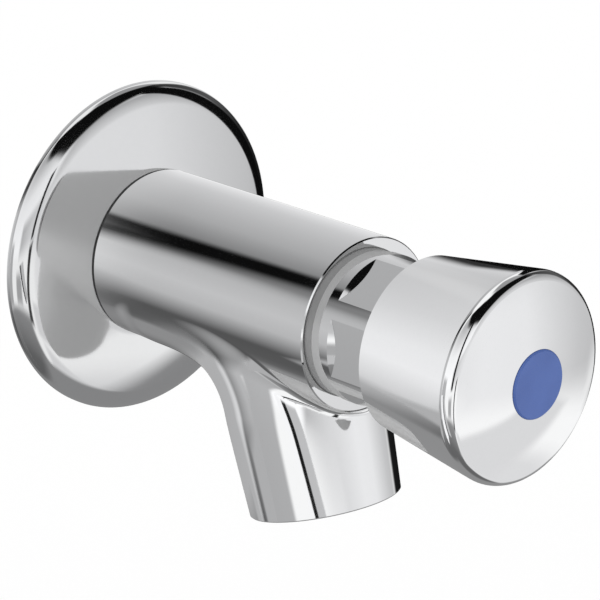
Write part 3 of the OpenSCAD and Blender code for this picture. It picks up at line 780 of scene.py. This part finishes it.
tent_panel(
    "tent_flag",
    [(0, 27), (10, 30), (24, 34), (40, 36), (54, 37), (74, 36), (90, 44), (66, 64), (40, 80),
     (-64, 84), (-110, 76), (-128, 64), (-90, 60), (-65, 55), (-45, 49), (-26, 44), (-14, 36), (-4, 27)],
    [(0, 0.004), (80, 0.004)], 6)
tent_panel(
    "tent_flag_right",
    [(76, 44), (76, 33), (84, 16), (85, -8), (85, -26), (136, -27), (128, -9), (118, 8), (106, 26), (92, 44)],
    [(-27, 0.004), (0, 0.02), (12, 0.1), (44, 0.03)], 8)
tent_panel(
    "tent_gap", [(-13, -7), (-5, -7), (-7, -24), (-6, -34), (-15, -34), (-14, -24)],
    [(-34, 0.06), (-7, 0.01)], 3, step=1.0)
tent_panel(
    "tent_flank", [(-168, -14), (-168, -31), (-86, -31), (-86, 4), (-114, 4), (-120, -14)],
    [(-31, 0.42), (4, 0.5)], 6)

# Rings behind the wall, which the sides of body and button mirror. Levels run round the tap's axis.

tent_ring("tent_round", 41, 60, [
    (-12, 0.8), (5, 0.78), (33, 0.62), (90, 0.42), (108, 0.3), (120, 0.22), (143, 0.22), (151, 0.42),
    (157, 0.5), (180, 0.57), (202, 0.5), (229, 0.09), (245, 0.1), (270, 0.19), (312, 0.19), (326, 0.06),
    (346, 0.06)], 6)
tent_ring("tent_back", 10, 41, [
    (6, 0.3), (18, 0.4), (60, 0.58), (115, 0.7), (160, 0.87), (188, 0.9), (226, 0.7), (238, 0.46),
    (300, 0.44), (320, 0.4), (330, 0.06), (350, 0.06)], 5)

# Dark panel over the rings, which the body's side mirrors

tent_panel(
    "tent_flag_rear", [(-152.5, 32), (-147, 27), (-141, 15), (-141, 60), (-152.5, 60)],
    [(15, 0.004), (60, 0.004)], 6, step=1.0)

# Boards close to the tap: a corner, two edges, a level and the fade of the edge

BAR_RISE = (-27.1, 40.6, 55)

tent_board("tent_edge", (79, 0, -16), (76, 0, 0), (0, 0, 77), 0.03, 20)
tent_board("tent_wing", (105, -30, -35), (0, 55, 0), (0, -77, 175), 0.004, 5)
tent_board("tent_strip", (-62.2, -150, -6), (18, 0, 0), (15.5, 0, 81), 0.01, 3)

# Dark bar at the left of the nozzle, between a grey card on its front side and a white blind on its wall side
tent_board("tent_blind", (-75.8, -121, -69), (19.9, 13.4, 0), BAR_RISE, 1.0, 0)
tent_board("tent_card", (-74.5, -129.8, -69), (14.5, -21.6, 0), BAR_RISE, 0.55, 4)
tent_board("tent_bar", (-75.2, -121.9, -69), (6.2, -9.1, 0), BAR_RISE, 0.01, 1.5)

# Boards below: one upright at the left, two lying flat
tent_board("tent_skirt", (-130, 0, -150), (72, 0, 0), (0, 0, 92), 0.45, 8)
tent_board("tent_apron", (-40, -345, -150), (330, 0, 0), (0, 150, 0), 0.74, 30)
tent_board("tent_mat", (-60, -136, -150), (260, 0, 0), (0, 286, 0), 0.28, 26)


# Floor and world

FLOOR_Z, FLOOR_SIZE, FLOOR_ROUGHNESS = -0.20, 8.0, 0.9
WHITE = grey(1.0)


def pale_floor():
    """White floor under the tap, open to a view from below."""
    mesh = bpy.data.meshes.new("floor")
    h = FLOOR_SIZE / 2
    corners = [(x, y, FLOOR_Z) for x, y in ((-h, -h), (h, -h), (h, h), (-h, h))]
    mesh.from_pydata(corners, [], [(0, 1, 2, 3)])
    floor = link("floor", mesh)
    material = bpy.data.materials.new("floor_white")
    material.use_nodes = True
    tree = material.node_tree
    shader = tree.nodes["Principled BSDF"]
    shader.inputs["Base Color"].default_value = WHITE
    shader.inputs["Roughness"].default_value = FLOOR_ROUGHNESS
    shader.inputs["Specular IOR Level"].default_value = 0.0
    sides = add_node(tree, "ShaderNodeMixShader")
    feed(tree, sides, 0, add_node(tree, "ShaderNodeNewGeometry").outputs["Backfacing"])
    feed(tree, sides, 1, shader.outputs[0])
    feed(tree, sides, 2, add_node(tree, "ShaderNodeBsdfTransparent").outputs[0])
    feed(tree, tree.nodes["Material Output"], "Surface", sides.outputs[0])
    mesh.materials.append(material)
    floor.visible_glossy = False


pale_floor()


def white_world():
    """White all round: camera, metal and floor see the same level."""
    world = bpy.data.worlds.new("white_studio")
    bpy.context.scene.world = world
    world.use_nodes = True
    sky = world.node_tree.nodes["Background"]
    sky.inputs["Color"].default_value = WHITE
    sky.inputs["Strength"].default_value = 1.0


white_world()


# Camera at the photograph's place

CAMERA_AZIMUTH, CAMERA_ELEVATION, CAMERA_DISTANCE = -44.05, 19.78, 0.603
CAMERA_AIM = Vector((0.00006, -0.04995, 0.00029))
LENS_PIXELS, IMAGE_PIXELS, SENSOR = 2964.0, 600.0, 36.0

camera_data = bpy.data.cameras.new("camera")
camera_data.sensor_width = SENSOR
camera_data.lens = SENSOR * LENS_PIXELS / IMAGE_PIXELS
camera = bpy.data.objects.new("camera", camera_data)
bpy.context.scene.collection.objects.link(camera)
camera.location = TENT_CENTRE + heading(CAMERA_AZIMUTH, CAMERA_ELEVATION) * CAMERA_DISTANCE
camera.rotation_euler = (CAMERA_AIM - camera.location).to_track_quat("-Z", "Y").to_euler()
bpy.context.scene.camera = camera
bpy.context.scene.view_settings.view_transform = "Standard"
